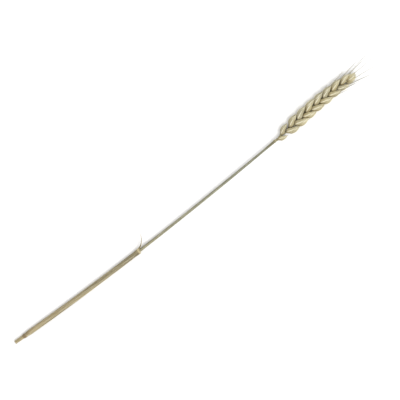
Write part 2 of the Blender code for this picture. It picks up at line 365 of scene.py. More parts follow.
@dataclass(frozen=True)
class HuskFinish:
    """Dry papery husk: a pale keel that is partly a painted highlight, and veins on a straw ground, with
    painted brown shade at its sides and where it is hidden.

    A grain is how fine a noise is along and across, how far the tint shifts it, and its finer
    layers. A pair is where a share is none and where it is full, but the roughness is its least
    value and what the fibres add. The heights are the relief's shares of keel, veins, fibres
    and threads.
    """

    name: str
    middle: Colour
    tip: Colour
    veins: float
    root: Colour = rgb(92, 74, 38)
    low: Colour = rgb(138, 122, 76)
    stop_places: tuple[float, ...] = (0.0, 0.22, 0.55, 1.0)
    blotch_scale: float = 420.0
    blotch_reach: float = 0.3
    fibre_grain: Grain = (3.0, 70.0, 40.0, 3.0)
    fibre_level: Pair = (0.55, 0.35)
    fibre_strength: float = 0.45
    vein_level: Pair = (0.3, 1.0)
    vein_strength: float = 0.35
    thread_grain: Grain = (9.0, 190.0, 70.0, 2.0)
    # The pale keel stripe is partly the keel's own tone and partly a painted highlight.
    keel: Colour = PALE_HUSK
    keel_band: Pair = (0.085, 0.0)
    keel_run: Pair = (0.1, 0.35)
    keel_and_highlight_strength: float = 0.8
    fleck: Colour = rgb(88, 74, 46)
    fleck_scale: float = 2300.0
    fleck_level: Pair = (0.66, 0.78)
    fleck_tint: Pair = (0.0, 0.8)
    fleck_strength: float = 0.6
    weathering: Coat = Coat(rgb(150, 149, 132), 0.2, 1.0, 0.6)
    threads: Coat = Coat(PALE_HUSK, 0.5, 0.68, 0.5)
    # Painted shade: a brown line along the husk's sides, standing in for the shadows where husks overlap.
    edge: Coat = Coat(rgb(122, 100, 54), 0.34, 0.45, 0.75)
    # Painted shade: brown laid over the husk as far as its shade value says it is hidden, in the creases
    # between husks.
    painted_crease_shade: Coat = Coat(rgb(118, 88, 38), 0.32, 0.85, 0.85)
    roughness: Pair = (0.55, 0.25)
    heights: tuple[float, ...] = (0.6, 0.25, 0.3, 0.3)
    relief: float = 0.10 * MM

    def material(self) -> bpy.types.Material:
        """Builds the husk's material.

        Returns:
            The material.
        """
        shader = Shader(self.name)
        along, across = shader.uv()
        place, tint = shader.place(), shader.carried("tint")
        side = abs(across - 0.5)
        blotch = shader.noise(place, self.blotch_scale)
        vein = (across * (FULL_TURN * self.veins)).cosine() * 0.5 + 0.5
        fibre, thread = (
            shader.noise(shader.vector(along * run, across * spread, tint * shift), 1.0, detail)
            for run, spread, shift, detail in (self.fibre_grain, self.thread_grain)
        )
        keel = side.ramp(*self.keel_band) * along.ramp(*self.keel_run)
        flecks = shader.noise(place, self.fleck_scale, 2.0).ramp(*self.fleck_level)
        flecks = flecks * tint.ramp(*self.fleck_tint)
        lines = (1.0 - vein).ramp(*self.vein_level) * self.vein_strength
        lines = lines + fibre.ramp(*self.fibre_level) * self.fibre_strength
        stops = tuple(zip(self.stop_places, (self.root, self.low, self.middle, self.tip)))
        colour = shader.colours(along + (blotch - 0.5) * self.blotch_reach, stops)
        colour = self.weathering.over(shader, colour, tint)
        colour = shader.mix(lines, colour, self.low)
        colour = self.threads.over(shader, colour, thread)
        # Pale keel stripe: partly the keel's own tone, partly a painted highlight.
        colour = shader.mix(keel * self.keel_and_highlight_strength, colour, self.keel)
        colour = shader.mix(flecks * self.fleck_strength, colour, self.fleck)
        # Painted shade at the husk's sides, for the shadows where husks overlap.
        colour = self.edge.over(shader, colour, side)
        # Painted shade: brown in the creases, where rays from the point are blocked.
        colour = self.painted_crease_shade.over(shader, colour, shader.carried("shade"))
        keel_high, vein_high, fibre_high, thread_high = self.heights
        height = keel * keel_high + vein * vein_high + fibre * fibre_high + thread * thread_high
        least, spread = self.roughness
        return shader.finish(colour, fibre * spread + least, height, self.relief)


@dataclass(frozen=True)
class PlainFinish:
    """A plant surface with soft blotches and fine grain, with painted brown shade in its creases if it has
    any.
    """

    name: str
    light: Colour
    dark: Colour
    blotches: float = 500.0
    blotch_level: Pair = (0.4, 1.0)
    # Painted shade in the creases, if given.
    painted_crease_shade: Optional[Coat] = None
    grain: float = 3000.0
    grain_share: float = 0.4
    roughness: Pair = (0.5, 0.2)
    relief: float = 0.05 * MM

    def material(self) -> bpy.types.Material:
        """Builds the surface's material.

        Returns:
            The material.
        """
        shader = Shader(self.name)
        place = shader.place()
        grain = shader.noise(place, self.grain, 2.0)
        patches = (shader.noise(place, self.blotches) + grain * self.grain_share).ramp(*self.blotch_level)
        colour = shader.mix(patches, self.dark, self.light)
        # Painted shade: brown where the piece's shade value says it is hidden.
        if self.painted_crease_shade is not None:
            colour = self.painted_crease_shade.over(shader, colour, shader.carried("shade"))
        least, spread = self.roughness
        return shader.finish(colour, grain * spread + least, grain, self.relief)


@dataclass(frozen=True)
class StemFinish:
    """Dried straw or leaf: long fibres, ribs, stains, and pale specks that are partly waxy bloom and partly
    painted glints.

    A grain is how fine a noise is round and along the stem, its scale and its finer layers. A
    level is where a share is none and where it is full. A band is its middle along the stem, its
    half width and its tone. The heights are the relief's shares of ribs and thin fibres.
    """

    name: str
    stops: Stops
    fibre_dark: Colour
    fibre_light: Colour
    stain: Colour
    ribs: float
    length: float
    blotch_scale: float = 90.0
    blotch_reach: float = 0.12
    wide_grain: Grain = (2.2, 0.03, 1.0, 3.0)
    wide_level: Pair = (0.58, 0.36)
    thin_grain: Grain = (9.0, 0.08, 1.0, 2.0)
    thin_level: Pair = (0.5, 0.68)
    fibre_strength: float = 0.8
    rib_strength: float = 0.3
    patch_grain: Grain = (1.0, 0.16, 1.3, 4.0)
    patch_level: Pair = (0.56, 0.74)
    patch_strength: float = 0.8
    speck_scale: float = 1500.0
    speck_level: Pair = (0.66, 0.75)
    speck_strength: float = 0.5
    stain_share: float = 0.5
    bands: tuple[tuple[float, float, Colour], ...] = ()
    band_core: float = 0.4
    band_strength: float = 0.8
    margin: Optional[Coat] = None
    # Pale specks: partly waxy bloom, partly painted glints.
    wax_and_glint: Colour = rgb(232, 230, 216)
    wax_scale: float = 2600.0
    wax_level: Pair = (0.62, 0.72)
    wax_share: float = 0.45
    roughness: Pair = (0.35, 0.25)
    heights: Pair = (0.5, 0.5)
    relief: float = 0.07 * MM

    def material(self) -> bpy.types.Material:
        """Builds the stem's material.

        Returns:
            The material.
        """
        shader = Shader(self.name)
        along, around = shader.uv()
        place = shader.place()
        angle = around * FULL_TURN
        x, y, run = angle.cosine(), angle.sine(), along * (self.length / MM)
        wide, thin, patch = (
            shader.noise(shader.vector(x * fine, y * fine, run * rate), scale, detail)
            for fine, rate, scale, detail in (self.wide_grain, self.thin_grain, self.patch_grain)
        )
        rib = (angle * self.ribs).cosine() * 0.5 + 0.5
        specks = shader.noise(place, self.speck_scale, 2.0).ramp(*self.speck_level)
        stains = patch.ramp(*self.patch_level) * self.patch_strength + specks * self.speck_strength
        # Pale specks, partly waxy bloom and partly painted glints.
        wax_and_glint = shader.noise(place, self.wax_scale, 1.0).ramp(*self.wax_level)
        blotch = shader.noise(place, self.blotch_scale)
        colour = shader.colours(along + (blotch - 0.5) * self.blotch_reach, self.stops)
        layers = [
            (wide.ramp(*self.wide_level) * self.fibre_strength, self.fibre_dark),
            (thin.ramp(*self.thin_level) * self.fibre_strength, self.fibre_light),
            ((1.0 - rib) * self.rib_strength, self.fibre_dark),
            (stains * self.stain_share, self.stain),
            (wax_and_glint * self.wax_share, self.wax_and_glint),
        ]
        for share, tone in layers:
            colour = shader.mix(share, colour, tone)
        for middle, half_width, tone in self.bands:
            band = Coat(tone, half_width, half_width * self.band_core, self.band_strength)
            colour = band.over(shader, colour, abs(along - middle))
        if self.margin is not None:
            colour = self.margin.over(shader, colour, abs(around - 0.5))
        (least, spread), (rib_high, thin_high) = self.roughness, self.heights
        return shader.finish(colour, thin * spread + least, rib * rib_high + thin * thin_high, self.relief)


@dataclass(frozen=True)
class FloorFinish:
    """A plain pale matt floor."""

    name: str = "floor"
    tone: float = 0.92
    roughness: float = 0.9

    def material(self) -> bpy.types.Material:
        """Builds the floor's material.

        Returns:
            The material.
        """
        shader = Shader(self.name)
        shader.principled.inputs["Base Color"].default_value = (self.tone, self.tone, self.tone, 1.0)
        shader.principled.inputs["Roughness"].default_value = self.roughness
        return shader.material


# Painted shade for the ear stem: brown where the husks hide it.
EAR_STEM_PAINTED_SHADE = Coat(rgb(104, 78, 36), 0.3, 0.8, 0.9)
GLUME_FINISH = HuskFinish("glume", rgb(174, 165, 126), rgb(200, 191, 154), veins=8.0)
LEMMA_FINISH = HuskFinish("lemma", rgb(198, 190, 154), rgb(224, 217, 188), veins=6.0)
PALEA_FINISH = PlainFinish("palea", rgb(176, 166, 128), rgb(112, 102, 68))
EAR_STEM_FINISH = PlainFinish("ear stem", rgb(166, 158, 118), rgb(92, 86, 56), painted_crease_shade=EAR_STEM_PAINTED_SHADE)
AWN_FINISH = PlainFinish("awn", rgb(166, 162, 142), rgb(112, 107, 88), blotches=150.0)
HAIR_FINISH = PlainFinish("hair", rgb(232, 226, 206), rgb(206, 198, 172))
LIGULE_FINISH = PlainFinish("ligule", rgb(196, 184, 150), rgb(140, 124, 88), blotches=1400.0)
STRAW_FINISH = StemFinish(
    "straw",
    stops=(
        (0.0, rgb(186, 164, 116)),
        (0.35, rgb(158, 148, 110)),
        (0.75, rgb(134, 134, 110)),
        (1.0, rgb(120, 121, 99)),
    ),
    fibre_dark=rgb(84, 80, 56),
    fibre_light=rgb(206, 202, 178),
    stain=rgb(74, 68, 46),
    ribs=30.0,
    length=283 * MM,
    bands=((0.036, 0.008, rgb(112, 92, 60)), (0.985, 0.02, rgb(110, 104, 74))),
)
SHEATH_FINISH = StemFinish(
    "leaf sheath",
    stops=(
        (0.0, rgb(132, 112, 72)),
        (0.1, rgb(158, 141, 102)),
        (0.55, rgb(148, 136, 100)),
        (0.85, rgb(132, 122, 90)),
        (1.0, rgb(148, 130, 92)),
    ),
    fibre_dark=rgb(86, 76, 50),
    fibre_light=rgb(214, 204, 172),
    stain=rgb(104, 88, 60),
    ribs=26.0,
    length=133 * MM,
    stain_share=0.6,
    bands=((0.905, 0.012, rgb(198, 184, 142)),),
    margin=Coat(rgb(206, 192, 152), 0.45, 0.49, 0.8),
    wax_share=0.2,
)


def mesh_object(name: str, points: Any, edges: Any = (), faces: Any = ()) -> bpy.types.Object:
    """A smooth-shaded mesh object at the origin.

    Args:
        name: The object's name.
        points: Its vertices.
        edges: Its loose edges as vertex numbers.
        faces: Its faces as vertex numbers.

    Returns:
        The object, linked to the scene.
    """
    mesh = bpy.data.meshes.new(name)
    mesh.from_pydata([tuple(point) for point in points], edges, faces)
    mesh.shade_smooth()
    made = bpy.data.objects.new(name, mesh)
    bpy.context.scene.collection.objects.link(made)
    return made


def carry(made: bpy.types.Object, name: str, values: Sequence[float], kind: str = "FLOAT") -> None:
    """Writes values of one kind to a mesh, one for each vertex, all in one flat row."""
    key = "vector" if kind == "FLOAT_VECTOR" else "value"
    made.data.attributes.new(name, kind, "POINT").data.foreach_set(key, values)


def grid_object(
    name: str, points: np.ndarray, span: Pair = (0.0, 1.0), closed: bool = False
) -> bpy.types.Object:
    """A sheet of quads with a UV map: U along its rows, V across them.

    Args:
        name: The object's name.
        points: Vertices by row, column and axis.
        span: U at the first and the last row.
        closed: Whether the last column joins the first.

    Returns:
        The object.
    """
    rows, columns = points.shape[:2]
    steps = columns if closed else columns - 1
    shares = np.linspace(*span, rows)
    faces, places = [], []
    for row in range(rows - 1):
        low, high, here = shares[row], shares[row + 1], row * columns
        for column in range(steps):
            after = (column + 1) % columns
            faces.append((here + column, here + after, here + columns + after, here + columns + column))
            left, right = column / steps, (column + 1) / steps
            places += [low, left, low, right, high, right, high, left]
    made = mesh_object(name, points.reshape(-1, 3), faces=faces)
    made.data.uv_layers.new(name="UVMap").data.foreach_set("uv", places)
    return made


def line_object(name: str, lines: Sequence[Line]) -> bpy.types.Object:
    """Loose lines that carry their girth and the share along them.

    Args:
        name: The object's name.
        lines: Each line's points and the radius at each.

    Returns:
        The object.
    """
    points, edges, girths, shares = [], [], [], []
    for places, radii in lines:
        first = len(points)
        edges += [(number, number + 1) for number in range(first, first + len(places) - 1)]
        lengths = np.cumsum([0.0] + [(b - a).length for a, b in zip(places, places[1:])])
        shares += list(lengths / lengths[-1])
        points += places
        girths += radii
    made = mesh_object(name, points, edges=edges)
    carry(made, "girth", girths)
    carry(made, "along", shares)
    return made


def apply_modifiers(made: bpy.types.Object) -> None:
    """Turns an object's modifiers into plain mesh.

    Args:
        made: The object, whose mesh is replaced.
    """
    graph = bpy.context.evaluated_depsgraph_get()
    mesh = bpy.data.meshes.new_from_object(made.evaluated_get(graph), depsgraph=graph)
    made.modifiers.clear()
    made.data = mesh


def thicken(made: bpy.types.Object, thickness: float, offset: float = -1.0) -> None:
    """Gives a sheet a wall with crisp rims.

    Args:
        made: The sheet.
        thickness: The wall's thickness.
        offset: Where the wall grows: -1 inwards, 0 both ways.
    """
    wall = made.modifiers.new("wall", "SOLIDIFY")
    wall.thickness = thickness
    wall.offset = offset
    apply_modifiers(made)
    made.data.shade_smooth()
    made.data.set_sharp_from_angle(angle=SHARP_ANGLE)


def weld(made: bpy.types.Object, close_ends: bool = False) -> None:
    """Merges a mesh's doubled points.

    Args:
        made: The mesh's object.
        close_ends: Whether its open ends are filled.
    """
    bm = bmesh.new()
    bm.from_mesh(made.data)
    bmesh.ops.remove_doubles(bm, verts=bm.verts, dist=WELD_DISTANCE)
    if close_ends:
        bmesh.ops.holes_fill(bm, edges=[edge for edge in bm.edges if edge.is_boundary])
        bmesh.ops.recalc_face_normals(bm, faces=bm.faces)
    bm.to_mesh(made.data)
    bm.free()


def join(name: str, pieces: Sequence[bpy.types.Object]) -> bpy.types.Object:
    """One mesh object made of several, which are removed.

    Args:
        name: The new object's name.
        pieces: What it is made of.

    Returns:
        The object.
    """
    first = pieces[0]
    with bpy.context.temp_override(active_object=first, object=first, selected_editable_objects=pieces):
        bpy.ops.object.join()
    first.name = first.data.name = name
    return first


def dress(made: bpy.types.Object, finish: bpy.types.Material, node: Node) -> bpy.types.Object:
    """Hands a finished piece to the frame.

    Args:
        made: The piece.
        finish: Its material.
        node: The solid that it stands for.

    Returns:
        The piece.
    """
    made.data.materials.clear()
    made.data.materials.append(finish)
    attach(made, BODY)
    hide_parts(node.value)
    LOG.info("%s: %d faces", made.name, len(made.data.polygons))
    return made


class GeometryTree(Graph):
    """A Geometry Nodes tree with named inputs, which ends in real, dressed mesh."""

    WORKING_VALUES = ("girth", "along", "round", "turn", "size", "kind")

    def __init__(self, name: str, kinds: dict[str, str]) -> None:
        """Makes the tree and its inputs.

        Args:
            name: The tree's name.
            kinds: Each input's kind of socket, beside the geometry and the finish.
        """
        super().__init__(bpy.data.node_groups.new(name, "GeometryNodeTree"))
        interface = self.tree.interface
        interface.new_socket("Geometry", in_out="OUTPUT", socket_type="NodeSocketGeometry")
        self.identifiers: dict[str, str] = {}
        for label, kind in {"Geometry": "Geometry", "Finish": "Material", **kinds}.items():
            made = interface.new_socket(label, in_out="INPUT", socket_type=f"NodeSocket{kind}")
            self.identifiers[label] = made.identifier
        self.given = {label: self.node("NodeGroupInput", None, None, label) for label in self.identifiers}

    def carried(self, name: str, kind: str = "FLOAT") -> Socket:
        """A value that the geometry carries."""
        node = "GeometryNodeInputNamedAttribute"
        return self.node(node, {"data_type": kind}, {"Name": name}, "Attribute")

    def store(self, geometry: Socket, name: str, value: Socket, kind: str, domain: str) -> Socket:
        """Geometry that carries one more named value, of a kind, on a domain."""
        inputs = {"Geometry": geometry, "Name": name, "Value": value}
        return self.node("GeometryNodeStoreNamedAttribute", {"data_type": kind, "domain": domain}, inputs)

    def draw(self, low: Operand, high: Operand, seed: Operand) -> Socket:
        """A random value for each element, between two values and by a seed."""
        inputs = {"Min_001": low, "Max_001": high, "Seed": seed}
        return self.node("FunctionNodeRandomValue", {"data_type": "FLOAT"}, inputs, "Value_001")

    def close(self, geometry: Socket) -> None:
        """Ends the tree: its copies are made real and get the finish.

        Args:
            geometry: What the tree has made.
        """
        real = self.node("GeometryNodeRealizeInstances", None, {"Geometry": geometry})
        inputs = {"Geometry": real, "Material": self.given["Finish"]}
        self.add("NodeGroupOutput", None, {0: self.node("GeometryNodeSetMaterial", None, inputs)})

    def run(self, made: bpy.types.Object, values: dict[str, Any]) -> None:
        """Runs the tree on an object and keeps the result as its plain mesh.

        Args:
            made: The object.
            values: The named inputs.
        """
        modifier = made.modifiers.new("nodes", "NODES")
        modifier.node_group = self.tree
        for label, value in values.items():
            modifier[self.identifiers[label]] = value
        apply_modifiers(made)
        for name in self.WORKING_VALUES:
            if name in made.data.attributes:
                made.data.attributes.remove(made.data.attributes[name])


@dataclass(frozen=True)
class Section:
    """A tube's section: its sides, its ribs, how much wider than high it is, and its ends."""

    sides: int
    ribs: float = 0.0
    rib_height: float = 0.0
    flatness: float = 0.0
    capped: bool = True


class TubeTree(GeometryTree):
    """Sweeps a section along lines that carry their girth, as stems and bristles need."""

    SEAM_GAP = 0.25

    def __init__(self) -> None:
        """Builds the tree."""
        shape = {"Ribs": "Float", "Rib Height": "Float", "Flatness": "Float"}
        super().__init__("tubes on lines", {"Sides": "Int", "Capped": "Bool", **shape})
        given, girth = self.given, self.carried("girth")
        size = {"Resolution": given["Sides"], "Radius": 1.0}
        circle = self.node("GeometryNodeCurvePrimitiveCircle", None, size)
        factor = self.node("GeometryNodeSplineParameter", None, None, "Factor")
        tube = self.node("GeometryNodeCurveToMesh", None, {
            "Curve": self.node("GeometryNodeMeshToCurve", None, {"Mesh": given["Geometry"]}),
            "Profile Curve": self.store(circle, "round", factor, "FLOAT", "POINT"),
            "Scale": girth,
            "Fill Caps": given["Capped"],
        })
        angle = self.carried("round") * FULL_TURN
        ribs = given["Rib Height"] * (angle * given["Ribs"]).cosine()
        swell = ribs + girth * given["Flatness"] * (angle * 2.0).cosine()
        outwards = {0: self.node("GeometryNodeInputNormal"), "Scale": swell}
        offset = self.node("ShaderNodeVectorMath", {"operation": "SCALE"}, outwards)
        tube = self.node("GeometryNodeSetPosition", None, {"Geometry": tube, "Offset": offset})
        self.close(self.store(tube, "UVMap", self._map(), "FLOAT2", "CORNER"))

    def _map(self) -> Socket:
        """The tube's UV map, whose share round is 1 and not 0 where the last side ends.

        Returns:
            The share along and the share round, as one vector.
        """
        face = {"domain": "FACE", "data_type": "FLOAT"}
        around = self.carried("round")
        behind = self.node("GeometryNodeFieldOnDomain", face, {0: around}) - around
        return self.vector(self.carried("along"), around + (behind > self.SEAM_GAP), 0.0)

    def sweep(
        self, name: str, lines: Sequence[Line], section: Section, finish: bpy.types.Material
    ) -> bpy.types.Object:
        """Sweeps one piece.

        Args:
            name: The piece's name.
            lines: Each line's points and the radius at each.
            section: The section.
            finish: The material.

        Returns:
            The piece.
        """
        made = line_object(name, lines)
        self.run(made, {
            "Finish": finish,
            "Sides": section.sides,
            "Ribs": section.ribs,
            "Rib Height": section.rib_height,
            "Flatness": section.flatness,
            "Capped": section.capped,
        })
        made.data.shade_smooth()
        return made


class PlacingTree(GeometryTree):
    """Stands copies on a table of points that carry each copy's turn, size and shape."""

    def __init__(self) -> None:
        """Builds the tree."""
        kinds = {"Copies": "Collection", "Wobble": "Float", "Spread": "Float", "Seed": "Int"}
        super().__init__("copies on points", kinds)
        given = self.given
        wobble, seed = given["Wobble"], given["Seed"]
        swings = [self.draw(wobble * -1.0, wobble, seed + axis) for axis in (1, 2, 3)]
        turn, swing = (
            self.node("FunctionNodeEulerToRotation", None, {0: angles})
            for angles in (self.carried("turn", "FLOAT_VECTOR"), self.vector(*swings))
        )
        local = {"rotation_space": "LOCAL"}
        source = {"Collection": given["Copies"], "Separate Children": True, "Reset Children": True}
        growth = self.draw(1.0 - given["Spread"], 1.0 + given["Spread"], seed)
        self.close(self.node("GeometryNodeInstanceOnPoints", None, {
            "Points": self.node("GeometryNodeMeshToPoints", None, {"Mesh": given["Geometry"]}),
            "Instance": self.node("GeometryNodeCollectionInfo", None, source),
            "Pick Instance": True,
            "Instance Index": self.carried("kind", "INT"),
            "Rotation": self.node("FunctionNodeRotateRotation", local, {0: turn, 1: swing}),
            "Scale": self.carried("size") * growth,
        }))


class HairTree(GeometryTree):
    """Stands short pointed hairs on a piece's faces, leaning towards the ear's tip."""

    SIDES = 3
    SIZE_DRAW: Pair = (0.5, 1.15)

    def __init__(self) -> None:
        """Builds the tree."""
        kinds = {"Density": "Float", "Length": "Float", "Radius": "Float", "Lean": "Float", "Seed": "Int"}
        super().__init__("hairs on faces", kinds)
        given = self.given
        spread = {"Mesh": given["Geometry"], "Density": given["Density"], "Seed": given["Seed"]}
        roots = self.add("GeometryNodeDistributePointsOnFaces", {"distribute_method": "RANDOM"}, spread)
        points, outwards = (Socket(self, roots.outputs[name]) for name in ("Points", "Normal"))
        lean = {0: outwards, 1: self.vector(given["Lean"], 0.0, 0.0)}
        aim = self.node("ShaderNodeVectorMath", {"operation": "ADD"}, lean)
        ends = {"Radius Top": 0.0, "Radius Bottom": given["Radius"]}
        cone = {"Vertices": self.SIDES, "Depth": given["Length"], **ends}
        self.close(self.node("GeometryNodeInstanceOnPoints", None, {
            "Points": points,
            "Instance": self.node("GeometryNodeMeshCone", {"fill_type": "NGON"}, cone),
            "Rotation": self.node("FunctionNodeAlignRotationToVector", {"axis": "Z"}, {"Vector": aim}),
            "Scale": self.draw(*self.SIZE_DRAW, given["Seed"]),
        }))

    def grow(self, name: str, source: bpy.types.Object, values: dict[str, Any]) -> bpy.types.Object:
        """Grows hairs on a copy of a piece, and keeps only the hairs.

        Args:
            name: The hairs' name.
            source: The piece that they grow on.
            values: The named inputs.

        Returns:
            The hairs as one mesh object.
        """
        made = bpy.data.objects.new(name, source.data.copy())
        bpy.context.scene.collection.objects.link(made)
        self.run(made, values)
        return made


@dataclass(frozen=True)
class Route:
    """The middle line: how it heads in plan and climbs, in degrees, by distance."""

    start: tuple[float, float, float]
    at: tuple[float, ...] = (0.0, 140 * MM, 275 * MM, 300 * MM, 330 * MM, 375 * MM)
    heading: tuple[float, ...] = (-4.0, -1.0, 1.0, 3.6, 1.6, -7.0)
    climb: tuple[float, ...] = (0.38, 0.38, 0.35, 0.30, -0.1, -0.9)
    step: float = 1 * MM

    def frame(self, distance: float) -> Matrix:
        """The frame at a distance from the cut end.

        Args:
            distance: The distance.

        Returns:
            The frame: X along the line, Z up from it.
        """
        at = np.arange(0, self.at[-1] + self.step, self.step)
        heading = np.radians(np.interp(at, self.at, self.heading))
        climb = np.radians(np.interp(at, self.at, self.climb))
        steps = self.step * np.stack([np.cos(heading), np.sin(heading), np.sin(climb)], axis=1)
        points = np.concatenate([[[0, 0, 0]], np.cumsum(steps, axis=0)[:-1]]) + self.start
        place = Vector([float(np.interp(distance, at, points[:, axis])) for axis in range(3)])
        turn = Matrix.Rotation(float(np.interp(distance, at, heading)), 4, "Z")
        tilt = Matrix.Rotation(-float(np.interp(distance, at, climb)), 4, "Y")
        return Matrix.Translation(place) @ turn @ tilt

    def placed(self, distance: float, offsets: np.ndarray) -> np.ndarray:
        """Offsets along, sideways and up, moved to their place at a distance on the line."""
        place = np.array(self.frame(distance))
        return offsets @ place[:3, :3].T + place[:3, 3]


@dataclass(frozen=True)
class Ground:
    """The floor, which presses the lowest husks flat.

    A point at the lowest height ends on the floor, and points from the eased height up stay.
    """

    lowest: float = -0.80 * MM
    eased: float = 1.9 * MM

    def settle(self, made: bpy.types.Object) -> None:
        """Presses what is low in a mesh up to the floor, keeping its layers apart.

        Args:
            made: The mesh's object.
        """
        places = np.zeros(len(made.data.vertices) * 3)
        made.data.vertices.foreach_get("co", places)
        height = places[2::3]
        pressed = np.maximum((height - self.lowest) / (self.eased - self.lowest) * self.eased, 0.0)
        places[2::3] = np.where(height < self.eased, pressed, height)
        made.data.vertices.foreach_set("co", places)
        made.data.update()


@dataclass(frozen=True)
class Shade:
    """Marks how hidden each point of some pieces is, for the painted shade in creases."""

    rays: int = 14
    reach: float = 3.2 * MM
    lift: float = 0.06 * MM
    golden_angle: float = math.radians(137.5)
    quick_stride: int = 3

    def _directions(self) -> list[Vector]:
        """Ray directions spread over the half sphere round +Z.
        """
        found = []
        for step in range(self.rays):
            height = math.sqrt((step + 0.5) / self.rays)
            flat, angle = math.sqrt(1 - height**2), step * self.golden_angle
            found.append(Vector((flat * math.cos(angle), flat * math.sin(angle), height)))
        return found

    def mark(self, pieces: Sequence[bpy.types.Object], hiding: Sequence[bpy.types.Object]) -> None:
        """Writes the share of blocked rays to each piece as its value "shade".

        Args:
            pieces: The pieces to mark.
            hiding: The pieces that can hide them.
        """
        corners, faces = [], []
        for made in hiding:
            start = len(corners)
            corners += [vertex.co.copy() for vertex in made.data.vertices]
            faces += [[start + number for number in face.vertices] for face in made.data.polygons]
        tree, rays = BVHTree.FromPolygons(corners, faces), self._directions()
        for made in pieces:
            shares = []
            for vertex in made.data.vertices:
                turn = vertex.normal.to_track_quat("Z", "Y")
                start = vertex.co + vertex.normal * self.lift
                hits = sum(tree.ray_cast(start, turn @ ray, self.reach)[0] is not None for ray in rays)
                shares.append(hits / len(rays))
            carry(made, "shade", shares)


class Wall(Enum):
    """A wall of a scale: the arc that it spans, in degrees, and its share of the full size."""

    BACK = (-16.0, 196.0, 1.0)
    FRONT = (172.0, 368.0, 0.93)
    ROUND = (0.0, 360.0, 0.93)


@dataclass(frozen=True)
class Relief:
    """The keel, veins and small faults of a husk's back, in mm."""

    keel: float = 0.11
    keel_width: float = 0.13
    vein: float = 0.028
    veins: float = 13.0
    dent: float = 0.10
    dents_along: float = 7.0
    dents_around: float = 2.0
    sway: float = 0.05
    sways: float = 9.0
    flick: Pair = (0.05, 0.30)
    skew: float = 0.15
    tip_from: float = 0.9
    tip_length: float = 0.22

    def apply(self, share: Any, angle: Any, fullness: Any, across: Any, up: Any, draw: random.Random) -> Any:
        """Adds the relief to a plain husk.

        Args:
            share: Shares of the length.
            angle: Angles round the husk.
            fullness: How full it is there, 0 to 1.
            across: The plain places across.
            up: The plain heights.
            draw: The random source.

        Returns:
            The new places across and the new heights.
        """
        phase = draw.uniform(0, FULL_TURN)
        keel = self.keel * np.exp(-(((angle - math.pi / 2) / self.keel_width) ** 2))
        veins = self.vein * np.cos((angle - math.pi / 2) * self.veins) * np.clip(np.sin(angle), 0, 1)
        dents = np.sin(share * self.dents_along + phase) * self.dent
        dent = dents * np.cos(angle * self.dents_around + phase)
        tip = np.clip((share - self.tip_from) / self.tip_length, 0, 1)
        up = up + (keel + veins + dent) * fullness + draw.uniform(*self.flick) * tip**2
        across = across * (1 + self.sway * np.sin(share * self.sways + phase))
        return across + draw.uniform(-self.skew, self.skew) * tip, up


